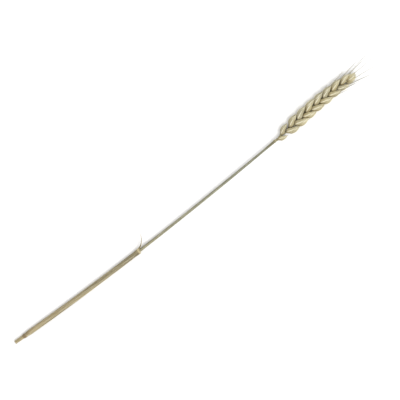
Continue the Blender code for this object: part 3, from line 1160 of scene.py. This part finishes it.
@dataclass(frozen=True)
class Scale:
    """One kind of scale, in mm and degrees: its size, its root and which way it faces.

    Its back and its front are how far its two faces stand from its middle. The root is along
    the spikelet, outwards from the ear's stem, and across. The turn is from facing across (0)
    to facing outwards (90).
    """

    length: float
    width: float
    back: float
    front: float
    root: tuple[float, float, float]
    lean_out: float
    lean_across: float
    turn: float
    bend: float
    shoulder: float = 0.0
    shoulder_at: float = 0.80
    shoulder_width: float = 0.085
    swell: float = 0.55
    taper: float = 0.80
    roundness: float = 1.35
    beak: float = 0.12
    neck: float = 0.905
    thinnest: float = 0.03
    thickness: float = 0.13
    first_ring: float = 0.07
    short_reach: float = 0.97
    relief_gain: float = 1.6

    def frame(self, side: int, size: float) -> Matrix:
        """The scale's frame in its spikelet.

        Args:
            side: The side across, 1 or -1.
            size: The spikelet's size.

        Returns:
            The frame.
        """
        root = Vector((self.root[0], self.root[1], side * self.root[2])) * (size * MM)
        return (
            Matrix.Translation(root)
            @ Matrix.Rotation(-side * math.radians(self.lean_across), 4, "Y")
            @ Matrix.Rotation(math.radians(self.lean_out), 4, "Z")
            @ Matrix.Rotation(-math.radians(90 - side * (90 - self.turn)), 4, "X")
        )

    def awn_frame(self, size: float, share: float) -> Matrix:
        """The frame of an awn on the scale's middle line.

        Args:
            size: The spikelet's size.
            share: Where on the scale's length the awn is rooted.

        Returns:
            The frame in the scale's own frame.
        """
        root = Vector((self.length * share, 0, -self.bend * share**2)) * (size * MM)
        slope = math.atan(2 * self.bend * share / self.length)
        return Matrix.Translation(root) @ Matrix.Rotation(slope, 4, "Y")

    def girth(self, share: np.ndarray) -> np.ndarray:
        """How wide the scale is along its length.

        Args:
            share: Shares of the length, to the beak's end.

        Returns:
            The widths, 1 at the widest.
        """
        fullest = self.swell / (self.swell + self.taper)
        most = fullest**self.swell * (1 - fullest) ** self.taper
        body, end = np.minimum(share, self.neck), 1 + self.beak
        closing = np.clip((end - share) / (end - self.neck), self.thinnest, 1.0)
        return body**self.swell * (1 - body) ** self.taper / most * closing

    def shell(self, name: str, wall: Wall, grid: tuple[int, int], draw: random.Random) -> bpy.types.Object:
        """One wall of the scale in its own frame.

        Args:
            name: The object's name.
            wall: Which wall it is.
            grid: Rows along it and columns across it.
            draw: The random source of its small faults.

        Returns:
            The object.
        """
        first, last, inset = wall.value
        whole = wall is Wall.ROUND
        reach = 1 + self.beak if wall is Wall.BACK else self.short_reach
        share = (reach * (0.5 - 0.5 * np.cos(np.linspace(self.first_ring, 1.0, grid[0]) * math.pi)))[:, None]
        angle = np.radians(np.linspace(first, last, grid[1], endpoint=not whole))[None, :]
        rise, girth = np.sin(angle), self.girth(share)
        depth = np.where(rise > 0, self.back * np.abs(rise) ** self.roundness, self.front * rise)
        across = self.width / 2 * girth * inset * np.cos(angle)
        up = depth * girth * inset - self.bend * np.minimum(share, 1) ** 2
        if wall is Wall.BACK:
            bulge = self.shoulder * np.exp(-(((share - self.shoulder_at) / self.shoulder_width) ** 2))
            fullness = np.clip(girth * self.relief_gain, 0, 1)
            across, up = Relief().apply(share, angle, fullness, across, up, draw)
            across = across + self.width / 2 * bulge * np.maximum(np.cos(angle), 0)
        points = np.stack([share * self.length + 0 * angle, across, up], axis=2) * MM
        made = grid_object(name, points, closed=whole)
        if whole:
            weld(made, close_ends=True)
        else:
            thicken(made, self.thickness * MM)
        return made


GLUME = Scale(
    length=9.4, width=4.7, back=2.05, front=1.3, root=(-0.4, -0.5, 1.5),
    lean_out=6, lean_across=17, turn=14, bend=0.40, shoulder=0.16,
)
SIDE_LEMMA = Scale(
    length=11.2, width=4.8, back=2.0, front=1.6, root=(0.8, 0.6, 1.1),
    lean_out=1, lean_across=12, turn=24, bend=1.3,
)
MIDDLE_LEMMA = Scale(
    length=10.4, width=4.6, back=2.2, front=1.8, root=(2.0, 1.4, 0.1),
    lean_out=3, lean_across=1, turn=90, bend=1.4,
)
UPPER_LEMMA = Scale(
    length=8.6, width=3.8, back=1.8, front=1.4, root=(4.4, 1.2, -0.5),
    lean_out=0, lean_across=-7, turn=75, bend=1.0,
)
SPIKELET_STEM = Scale(
    length=7.0, width=3.4, back=1.9, front=1.6, root=(-1.2, -0.6, 0.0),
    lean_out=6, lean_across=0, turn=90, bend=0.0,
)
BOTH_SIDES = (1, -1)
LEMMAS = ((SIDE_LEMMA, BOTH_SIDES), (MIDDLE_LEMMA, (1,)), (UPPER_LEMMA, (1,)))


@dataclass(frozen=True)
class Layer:
    """One wall of some kinds of scale, which makes one piece: each kind with its sides."""

    name: str
    scales: tuple[tuple[Scale, tuple[int, ...]], ...]
    wall: Wall
    grid: tuple[int, int]
    finish: Union[HuskFinish, PlainFinish]
    seed: int


CORE_LAYER = Layer(
    "spikelet_stems", ((SPIKELET_STEM, (1,)),), Wall.ROUND, grid=(9, 10), finish=PALEA_FINISH, seed=31
)
GLUME_LAYER = Layer(
    "glumes", ((GLUME, BOTH_SIDES),), Wall.BACK, grid=(22, 19), finish=GLUME_FINISH, seed=32
)
LEMMA_LAYER = Layer("lemmas", LEMMAS, Wall.BACK, grid=(22, 19), finish=LEMMA_FINISH, seed=33)
PALEA_LAYER = Layer("paleas", LEMMAS, Wall.FRONT, grid=(12, 9), finish=PALEA_FINISH, seed=34)


def between(ends: Pair, share: float) -> float:
    """The value at a share of the way between two."""
    return ends[0] + (ends[1] - ends[0]) * share


def ripple(at: Any, waves: Sequence[Wave], level: float = 0.0) -> Any:
    """Sine waves on a level. Each is given by its height, its rate and its phase."""
    return sum((height * np.sin(at * rate + phase) for height, rate, phase in waves), level)


DOWN = {"Density": 2.4e7, "Length": 0.42 * MM, "Radius": 0.014 * MM, "Lean": 1.3}
BARBS = {"Density": 2.6e7, "Length": 0.16 * MM, "Radius": 0.022 * MM, "Lean": 2.6}


@dataclass
class Ear:
    """The head: a zigzag stem with spikelets on alternate sides and one at its tip."""

    route: Route
    ground: Ground
    tubes: TubeTree
    base: float = 283.3 * MM
    base_radius: float = 1.12 * MM
    collar: tuple[Pair, ...] = ((-1.5 * MM, 1.02), (-1.2 * MM, 1.10), (-0.5 * MM, 1.02))
    count: int = 16
    first: float = 2.6 * MM
    step: float = 4.75 * MM
    roll: Pair = (-5.0, 7.0)
    lean: Pair = (18.0, 14.0)
    size_at: tuple[float, ...] = (0, 1, 2, 4, 9, 13, 15)
    sizes: tuple[float, ...] = (0.66, 0.84, 0.95, 1.03, 1.03, 0.93, 0.84)
    size_draw: Pair = (0.97, 1.03)
    tip_size: float = 0.84
    wobble: float = math.radians(2)
    spread: float = 0.03
    variants: int = 5
    variant_seeds: int = 100
    tint_half: float = 0.5
    zigzag: float = 0.8 * MM
    stem_radius: float = 1.0 * MM
    stem_waists: Pair = (0.90, 0.74)
    stem_head: float = 1.08
    stem_swell: float = 1.6
    stem_starts: float = 0.4 * MM
    stem_end: float = 0.6
    stem_past_tip: float = 2 * MM
    stem_rings: int = 7
    stem_section: Section = Section(44, ribs=11.0, rib_height=0.035 * MM, flatness=0.10)
    first_awned: int = 9
    awn_root: float = 0.82
    awn_length: Pair = (12 * MM, 34 * MM)
    awn_length_draw: Pair = (0.75, 1.10)
    awn_sag_draw: Pair = (-0.03, 0.10)
    awn_radius: Pair = (0.25 * MM, 0.07 * MM)
    awn_taper: float = 0.7
    awn_clearance: float = 0.6 * MM
    awn_rings: int = 26
    awn_section: Section = Section(6)
    seed: int = 7
    spikelets: list[tuple[Matrix, float]] = field(default_factory=list)
    awns: list[tuple[Matrix, float, float]] = field(default_factory=list)

    def lay_out(self) -> None:
        """Works out every spikelet's frame and size, and every awn's frame, length and sag."""
        draw = random.Random(self.seed)
        for index in range(self.count):
            size = float(np.interp(index, self.size_at, self.sizes)) * draw.uniform(*self.size_draw)
            awned = (index - self.first_awned) / (self.count - self.first_awned)
            self._add_spikelet(self._side_frame(index), size, awned, draw)
        self._add_spikelet(self._tip_frame(), self.tip_size, 1.0, draw)

    def _add_spikelet(self, place: Matrix, size: float, awned: float, draw: random.Random) -> None:
        """Notes one spikelet and its awns.

        Args:
            place: The spikelet's frame.
            size: Its size.
            awned: How long its awns are, 0 to 1, or less than 0 where it has none.
            draw: The random source.
        """
        self.spikelets.append((place, size))
        for side in BOTH_SIDES if awned >= 0 else ():
            start = place @ SIDE_LEMMA.frame(side, size) @ SIDE_LEMMA.awn_frame(size, self.awn_root)
            length = between(self.awn_length, awned) * draw.uniform(*self.awn_length_draw)
            self.awns.append((start, length, draw.uniform(*self.awn_sag_draw)))

    def _side_frame(self, index: int) -> Matrix:
        """A side spikelet's frame.

        Args:
            index: The spikelet's number from the base.

        Returns:
            The frame: X along it, Y outwards, Z across it.
        """
        share = index / (self.count - 1)
        roll = between(self.roll, share) + (180 if index % 2 == 0 else 0)
        return (
            self.route.frame(self.base + self.first + index * self.step)
            @ Matrix.Rotation(math.radians(roll), 4, "X")
            @ Matrix.Translation((0, self.zigzag, 0))
            @ Matrix.Rotation(math.radians(between(self.lean, share)), 4, "Z")
        )

    def _tip_frame(self) -> Matrix:
        """The last spikelet's frame, a quarter turn from the rest."""
        distance = self.base + self.first + self.count * self.step
        return self.route.frame(distance) @ Matrix.Rotation(math.radians(self.roll[1] + 90), 4, "X")

    def _points(self, layer: Layer) -> bpy.types.Object:
        """The table of points for one layer.

        Args:
            layer: The layer.

        Returns:
            Loose points that carry each copy's turn, size, shape number and tint.
        """
        draw = random.Random(layer.seed)
        places, turns, sizes, kinds, tints = [], [], [], [], []
        for spikelet, size in self.spikelets:
            mood = draw.uniform(0, self.tint_half)
            for number, (scale, sides) in enumerate(layer.scales):
                for side in sides:
                    place = spikelet @ scale.frame(side, size)
                    places.append(place.translation)
                    turns += place.to_euler()
                    sizes.append(size)
                    kinds.append(number * self.variants + draw.randrange(self.variants))
                    tints.append(mood + draw.uniform(0, self.tint_half))
        made = mesh_object(layer.name, places)
        carry(made, "turn", turns, "FLOAT_VECTOR")
        carry(made, "size", sizes)
        carry(made, "kind", kinds, "INT")
        carry(made, "tint", tints)
        return made

    def _shapes(self, layer: Layer) -> bpy.types.Collection:
        """The variants of a layer's scales, in a collection of their own.

        Args:
            layer: The layer.

        Returns:
            The collection, in the order of the shape numbers.
        """
        shapes = bpy.data.collections.new(f"{layer.name} shapes")
        bpy.context.scene.collection.children.link(shapes)
        for number, (scale, _) in enumerate(layer.scales):
            for variant in range(self.variants):
                draw = random.Random(self.variant_seeds * number + variant)
                made = scale.shell(f"{layer.name}_{number}_{variant}", layer.wall, layer.grid, draw)
                bpy.context.scene.collection.objects.unlink(made)
                shapes.objects.link(made)
        return shapes

    def build_layer(self, layer: Layer, tree: PlacingTree) -> bpy.types.Object:
        """Builds one layer of scales as one piece.

        Args:
            layer: The layer.
            tree: The tree that places them.

        Returns:
            The piece.
        """
        shapes, made, finish = self._shapes(layer), self._points(layer), layer.finish.material()
        draws = {"Wobble": self.wobble, "Spread": self.spread, "Seed": layer.seed}
        tree.run(made, {"Copies": shapes, "Finish": finish, **draws})
        for shape in list(shapes.objects):
            bpy.data.objects.remove(shape)
        bpy.data.collections.remove(shapes)
        self.ground.settle(made)
        return dress(made, finish, Node.EAR)

    def _stem_line(self) -> Line:
        """The stem's middle line, which swings from spikelet to spikelet.

        Returns:
            Its points and its radii. Each joint is narrow below and wide above.
        """
        places = [self.route.frame(self.base + past).translation for past, _ in self.collar]
        radii = [self.base_radius * share for _, share in self.collar]
        for index in range(self.count):
            offset = self.zigzag / 2 * (1 if index % 2 else -1)
            distance = self.base + self.first + index * self.step
            reach = self.step if index else self.first - self.stem_starts
            waist = self.stem_waists[min(index, 1)]
            for ring in range(1, self.stem_rings + 1):
                share = ring / self.stem_rings
                swing = offset * (-math.cos(share * math.pi) if index else share)
                places.append(self.route.frame(distance - (1 - share) * reach) @ Vector((0, swing, 0)))
                radii.append(self.stem_radius * between((waist, self.stem_head), share**self.stem_swell))
        places.append(self._tip_frame() @ Vector((self.stem_past_tip, 0, 0)))
        radii.append(self.stem_radius * self.stem_end)
        return places, radii

    def build_stem(self) -> bpy.types.Object:
        """Builds the stem that carries the spikelets.

        Returns:
            The piece.
        """
        finish = EAR_STEM_FINISH.material()
        made = self.tubes.sweep("ear_stem", [self._stem_line()], self.stem_section, finish)
        return dress(made, finish, Node.EAR)

    def build_awns(self) -> bpy.types.Object:
        """Builds the awns, the long bristles near the tip.

        Returns:
            The piece.
        """
        lines, finish = [], AWN_FINISH.material()
        shares = [ring / (self.awn_rings - 1) for ring in range(self.awn_rings)]
        for start, length, sag in self.awns:
            places = [start @ Vector((length * share, 0, sag * length * share**2)) for share in shares]
            for place in places:
                place.z = max(place.z, self.awn_clearance)
            lines.append((places, [between(self.awn_radius, share**self.awn_taper) for share in shares]))
        made = self.tubes.sweep("awns", lines, self.awn_section, finish)
        return dress(made, finish, Node.EAR)

    def build_hairs(self, stem: bpy.types.Object, awns: bpy.types.Object) -> None:
        """Builds the down on the stem, and the barbs on the awns.

        Args:
            stem: The ear's stem.
            awns: The awns.
        """
        tree, finish = HairTree(), HAIR_FINISH.material()
        for name, source, values in (("stem_down", stem, DOWN), ("awn_barbs", awns, BARBS)):
            made = tree.grow(name, source, {"Finish": finish, "Seed": self.seed, **values})
            dress(made, finish, Node.EAR)

    def build(self) -> None:
        """Builds every piece of the ear."""
        self.lay_out()
        tree = PlacingTree()
        stem, awns = self.build_stem(), self.build_awns()
        core, glumes, lemmas, _ = [
            self.build_layer(layer, tree) for layer in (CORE_LAYER, GLUME_LAYER, LEMMA_LAYER, PALEA_LAYER)
        ]
        # Painted shade: marks how hidden each point of the stem and husks is, which darkens their creases.
        Shade().mark([stem, glumes, lemmas], [stem, core, glumes, lemmas])
        self.build_hairs(stem, awns)


@dataclass
class Straw:
    """The hollow stem: ribbed, with one swollen joint near its cut end. Its table is in mm."""

    route: Route
    tubes: TubeTree
    at: tuple[float, ...] = (0, 6, 8.5, 9.8, 11.2, 12.8, 60, 150, 230, 268, 279, 282.7)
    radii: tuple[float, ...] = (1.45, 1.45, 1.60, 1.95, 1.95, 1.35, 1.30, 1.20, 1.12, 1.00, 1.05, 1.12)
    wall: float = 0.42 * MM
    section: Section = Section(120, ribs=30.0, rib_height=0.022 * MM, flatness=0.012, capped=False)
    fine_to: float = 16 * MM
    rings: tuple[int, int] = (70, 230)
    slant: float = 0.22 * MM
    slant_turn: float = 0.6
    fray: float = 0.04 * MM
    fray_waves: tuple[Wave, ...] = ((1.0, 5.0, 0.0), (0.6, 17.0, 0.0))
    frayed_to: float = 2.5 * MM

    def radius(self, distance: float) -> float:
        """The radius at a distance from the cut end."""
        return float(np.interp(distance / MM, self.at, self.radii)) * MM

    def build(self) -> None:
        """Builds the straw as one hollow piece."""
        near = np.linspace(0, self.fine_to, self.rings[0], endpoint=False)
        far = np.linspace(self.fine_to, self.at[-1] * MM, self.rings[1])
        distances = [float(distance) for distance in np.concatenate([near, far])]
        places = [self.route.frame(distance).translation for distance in distances]
        line, finish = (places, [self.radius(distance) for distance in distances]), STRAW_FINISH.material()
        made = self.tubes.sweep("straw_skin", [line], self.section, finish)
        self._cut(made)
        thicken(made, self.wall)
        dress(made, finish, Node.STRAW)

    def _cut(self, made: bpy.types.Object) -> None:
        """Makes the cut end slightly slanted and frayed.

        Args:
            made: The straw's sheet.
        """
        place = self.route.frame(0)
        inverse, ahead = place.inverted(), place.to_3x3() @ Vector((1, 0, 0))
        for vertex in made.data.vertices:
            along, sideways, up = inverse @ vertex.co
            angle = math.atan2(up, sideways)
            slant = self.slant * (1 + math.sin(angle + self.slant_turn))
            fade = max(1 - along / self.frayed_to, 0)
            vertex.co += ahead * (fade * (slant + self.fray * ripple(angle, self.fray_waves)))


@dataclass
class LeafSheath:
    """The leaf: a thin ribbed sheath wrapped round the straw, its collar and a torn blade."""

    route: Route
    straw: Straw
    tubes: TubeTree
    start: float = 11.5 * MM
    foot: float = 4 * MM
    foot_gap: float = 0.13 * MM
    foot_curve: float = 1.5
    slit: Pair = (8.0, 34.0)
    slit_opens: float = 30 * MM
    slit_faces: Pair = (130.0, 200.0)
    collar_at: float = 133 * MM
    collar_share: float = 0.905
    outside: float = 0.90 * MM
    wall: float = 0.22 * MM
    flare: float = 0.35 * MM
    flare_length: float = 6 * MM
    rows: tuple[int, int] = (16, 150)
    columns: int = 96
    ribs: float = 26.0
    rib_height: float = 0.035 * MM
    blade_length: float = 13 * MM
    blade_share: Pair = (1 / 3, 2 / 3)
    blade_lift: float = math.radians(42)
    blade_width: float = 10.5 * MM
    blade_curl: float = 0.25
    blade_flattens: float = 1.6
    blade_rows: int = 26
    tear: tuple[float, ...] = (1.0, 0.84, 0.93, 0.72, 0.80)
    tear_waves: tuple[Wave, ...] = ((0.035, 61.0, 0.0), (0.03, 113.0, 1.0))
    ligule_along: Pair = (-1.1 * MM, 0.8 * MM)
    ligule_gap: Pair = (0.26 * MM, 0.38 * MM)
    ligule_grid: tuple[int, int] = (7, 73)
    ligule_wall: float = 0.06 * MM
    ligule_span: Pair = (0.04, 0.96)
    ligule_ragged: float = 0.13 * MM
    ligule_edge: tuple[Wave, ...] = ((1.0, 61.0, 0.0), (0.6, 137.0, 2.0), (0.9, 23.0, 1.0))
    ligule_fold: float = 0.05 * MM
    ligule_folds: float = 31.0
    fibre_length: Pair = (0.5 * MM, 2.6 * MM)
    fibre_radius: Pair = (0.075 * MM, 0.0125 * MM)
    fibre_sway: float = 0.35
    fibre_steps: int = 5
    fibre_section: Section = Section(5)
    seed: int = 19

    def _facing(self, distance: float) -> float:
        """The direction that the middle of the leaf faces, in radians from +Y towards +Z."""
        wound = min((distance - self.start) / (self.collar_at - self.start), 1)
        return math.radians(between(self.slit_faces, wound)) + math.pi

    def _angles(self, distance: float, share: np.ndarray) -> np.ndarray:
        """The angles of some shares of the way round from one side of the slit to the other."""
        slit = math.radians(between(self.slit, min((distance - self.start) / self.slit_opens, 1)))
        return self._facing(distance) + (math.pi - slit / 2) * (2 * share - 1)

    def _radius(self, distance: float) -> float:
        """How far the sheath's outer face is from the middle line.

        Args:
            distance: The distance from the cut end.

        Returns:
            The radius, least at the foot and flared at the collar.
        """
        base = max(1 - (distance - self.start) / self.foot, 0) ** self.foot_curve
        flare = max(1 - abs(distance - self.collar_at) / self.flare_length, 0) * self.flare
        return self.straw.radius(distance) + between((self.outside, self.foot_gap), base) + flare

    def _offsets(self, distance: float, share: np.ndarray) -> np.ndarray:
        """The leaf's outer face as offsets from the middle line.

        Args:
            distance: The distance from the cut end.
            share: Shares of the way round.

        Returns:
            Offsets along, sideways and up.
        """
        facing, radius = self._facing(distance), self._radius(distance)
        angle = self._angles(distance, share)
        ribbed = radius + np.cos(share * FULL_TURN * self.ribs) * self.rib_height
        wrapped = np.stack([0 * angle, np.cos(angle), np.sin(angle)], axis=1) * ribbed[:, None]
        outwards = np.array([0, math.cos(facing), math.sin(facing)])
        sideways = np.array([0, -outwards[2], outwards[1]])
        curl = radius * (1 - self.blade_curl * (2 * share - 1) ** 2)
        flat = outwards * curl[:, None] + sideways * (self.blade_width * (share - 0.5))[:, None]
        past = max(distance - self.collar_at, 0)
        opened = min(past / self.blade_length, 1)
        mixed = wrapped + (flat - wrapped) * min(opened * self.blade_flattens, 1)
        lift = math.sin(self.blade_lift) * past * math.sqrt(opened)
        along = past * (1 - (1 - math.cos(self.blade_lift)) * opened)
        return mixed + outwards * lift + np.array([along, 0, 0])

    def _torn(self, share: float) -> float:
        """How far the torn blade reaches.

        Args:
            share: The share of the way round the leaf.

        Returns:
            The share of the blade's length.
        """
        low, high = self.blade_share
        across = (share - low) / (high - low)
        edge = float(np.interp(across, np.linspace(0, 1, len(self.tear)), self.tear))
        return float(ripple(across, self.tear_waves, edge))

    def _sheath_points(self) -> np.ndarray:
        """The sheath's outer face.

        Returns:
            The points by row and column, from the foot to the collar.
        """
        share, foot_end = np.linspace(0, 1, self.columns + 1), self.start + self.foot
        foot = np.linspace(self.start, foot_end, self.rows[0], endpoint=False)
        distances = np.concatenate([foot, np.linspace(foot_end, self.collar_at, self.rows[1])])
        return np.array([self.route.placed(x, self._offsets(x, share)) for x in map(float, distances)])

    def _blade_points(self, collar: np.ndarray) -> np.ndarray:
        """The blade's outer face by row and column.

        Args:
            collar: The sheath's last row.

        Returns:
            The points, from the collar to the torn end.
        """
        low, high = (round(share * self.columns) for share in self.blade_share)
        shares = [column / self.columns for column in range(low, high + 1)]
        rows = [collar[low:high + 1]]
        for row in range(1, self.blade_rows + 1):
            reach = self.blade_length * row / self.blade_rows
            ends = [(self.collar_at + reach * self._torn(share), share) for share in shares]
            offsets = [self._offsets(end, np.array([share]))[0] for end, share in ends]
            rows.append(self.route.placed(self.collar_at, np.array(offsets)))
        return np.array(rows)

    def build(self) -> None:
        """Builds the sheath with its blade, the ligule and the blade's torn fibres."""
        sheath = self._sheath_points()
        blade = self._blade_points(sheath[-1])
        halves = [
            grid_object("sheath", sheath, (0.0, self.collar_share)),
            grid_object("blade", blade, (self.collar_share, 1.0)),
        ]
        made = join("leaf", halves)
        weld(made)
        thicken(made, self.wall)
        dress(made, SHEATH_FINISH.material(), Node.LEAF)
        finish = LIGULE_FINISH.material()
        for piece in (self._ligule(), self._fibres(blade, finish)):
            dress(piece, finish, Node.LEAF)

    def _ligule(self) -> bpy.types.Object:
        """The thin ragged membrane that stands inside the collar.

        Returns:
            The ligule.
        """
        rows, columns = self.ligule_grid
        share = np.linspace(*self.ligule_span, columns)
        ragged = self.ligule_ragged * ripple(share, self.ligule_edge)
        angle, sections = self._angles(self.collar_at, share), []
        for row in range(rows):
            rise = row / (rows - 1)
            past = between(self.ligule_along, rise) + ragged * rise**2
            radius = self.straw.radius(self.collar_at) + between(self.ligule_gap, rise)
            radius = radius + self.ligule_fold * np.sin(share * self.ligule_folds + row)
            section = np.stack([past, radius * np.cos(angle), radius * np.sin(angle)], axis=1)
            sections.append(self.route.placed(self.collar_at, section))
        made = grid_object("ligule", np.array(sections))
        thicken(made, self.ligule_wall, 0.0)
        return made

    def _fibres(self, blade: np.ndarray, finish: bpy.types.Material) -> bpy.types.Object:
        """The strands that stick out of the blade's torn end.

        Args:
            blade: The blade's points by row and column.
            finish: The strands' material.

        Returns:
            The strands as one piece.
        """
        draw, lines = random.Random(self.seed), []
        shares = [step / self.fibre_steps for step in range(self.fibre_steps + 1)]
        for column in range(1, blade.shape[1] - 1, 2):
            root = Vector(blade[-2, column])
            ahead = Vector(blade[-1, column] - blade[-4, column]).normalized()
            length = draw.uniform(*self.fibre_length)
            sway = Vector([draw.uniform(-self.fibre_sway, self.fibre_sway) for _ in range(3)])
            places = [root + (ahead + sway * share) * (length * share) for share in shares]
            lines.append((places, [between(self.fibre_radius, share) for share in shares]))
        return self.tubes.sweep("blade_fibres", lines, self.fibre_section, finish)


@dataclass(frozen=True)
class Lamp:
    """A soft square light: which way it stands, how far, how wide it is, and its watts.

    The way is given by the picture's right and up, and by the height over the floor.
    """

    name: str
    right: float
    up: float
    above: float
    distance: float
    width: float
    power: float


LAMPS = (
    Lamp("key", right=0.55, up=-0.45, above=1.5, distance=1.2, width=0.6, power=8.0),
    Lamp("fill", right=-0.6, up=0.5, above=1.2, distance=1.4, width=1.2, power=1.5),
)


@dataclass
class Studio:
    """The floor, the soft lights and the camera, which looks straight down."""

    picture_angle: float = math.radians(39)
    view_width: float = 345 * MM
    lens: float = 100.0
    sensor: float = 36.0
    floor_size: float = 3.0
    sky: float = 0.84

    def _hang(self, lamp: Lamp) -> None:
        """Adds a light that faces the part.

        Args:
            lamp: The light's place, size and power.
        """
        turn = Matrix.Rotation(-self.picture_angle, 3, "Z")
        towards = (turn @ Vector((lamp.right, lamp.up, lamp.above))).normalized()
        data = bpy.data.lights.new(lamp.name, "AREA")
        data.size = lamp.width
        data.energy = lamp.power
        light = bpy.data.objects.new(lamp.name, data)
        light.location = towards * lamp.distance
        light.rotation_euler = towards.to_track_quat("Z", "Y").to_euler()
        bpy.context.scene.collection.objects.link(light)

    def build(self) -> None:
        """Builds the floor, the lights, the sky and the camera."""
        half = self.floor_size / 2
        corners = [(-half, -half, 0), (half, -half, 0), (half, half, 0), (-half, half, 0)]
        floor = mesh_object("floor", corners, faces=[(0, 1, 2, 3)])
        floor.data.materials.append(FloorFinish().material())
        for lamp in LAMPS:
            self._hang(lamp)
        world = bpy.data.worlds.new("sky")
        world.use_nodes = True
        background = world.node_tree.nodes["Background"]
        background.inputs["Color"].default_value = (1.0, 1.0, 1.0, 1.0)
        background.inputs["Strength"].default_value = self.sky
        scene = bpy.context.scene
        scene.world = world
        scene.view_settings.view_transform = "Standard"
        data = bpy.data.cameras.new("camera")
        data.lens = self.lens
        data.sensor_width = self.sensor
        scene.camera = bpy.data.objects.new("camera", data)
        scene.camera.location = (0.0, 0.0, self.view_width * self.lens / self.sensor)
        scene.camera.rotation_euler = (0.0, 0.0, -self.picture_angle)
        scene.collection.objects.link(scene.camera)


def route_start() -> tuple[float, float, float]:
    """The middle of the cut end, from the box of the straw's solid.

    Returns:
        The place.
    """
    low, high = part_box(Node.STRAW.value)
    radius, heading = Straw.radii[0] * MM, math.radians(Route.heading[0])
    return low.x - radius * math.sin(heading), high.y - radius * math.cos(heading), CUT_HEIGHT


def main() -> None:
    """Builds the part and its studio."""
    logging.basicConfig(level=logging.INFO, format="%(name)s %(message)s")
    route, ground, tubes = Route(route_start()), Ground(), TubeTree()
    straw = Straw(route, tubes)
    Ear(route, ground, tubes).build()
    straw.build()
    LeafSheath(route, straw, tubes).build()
    Studio().build()


if __name__ == "__main__":
    main()
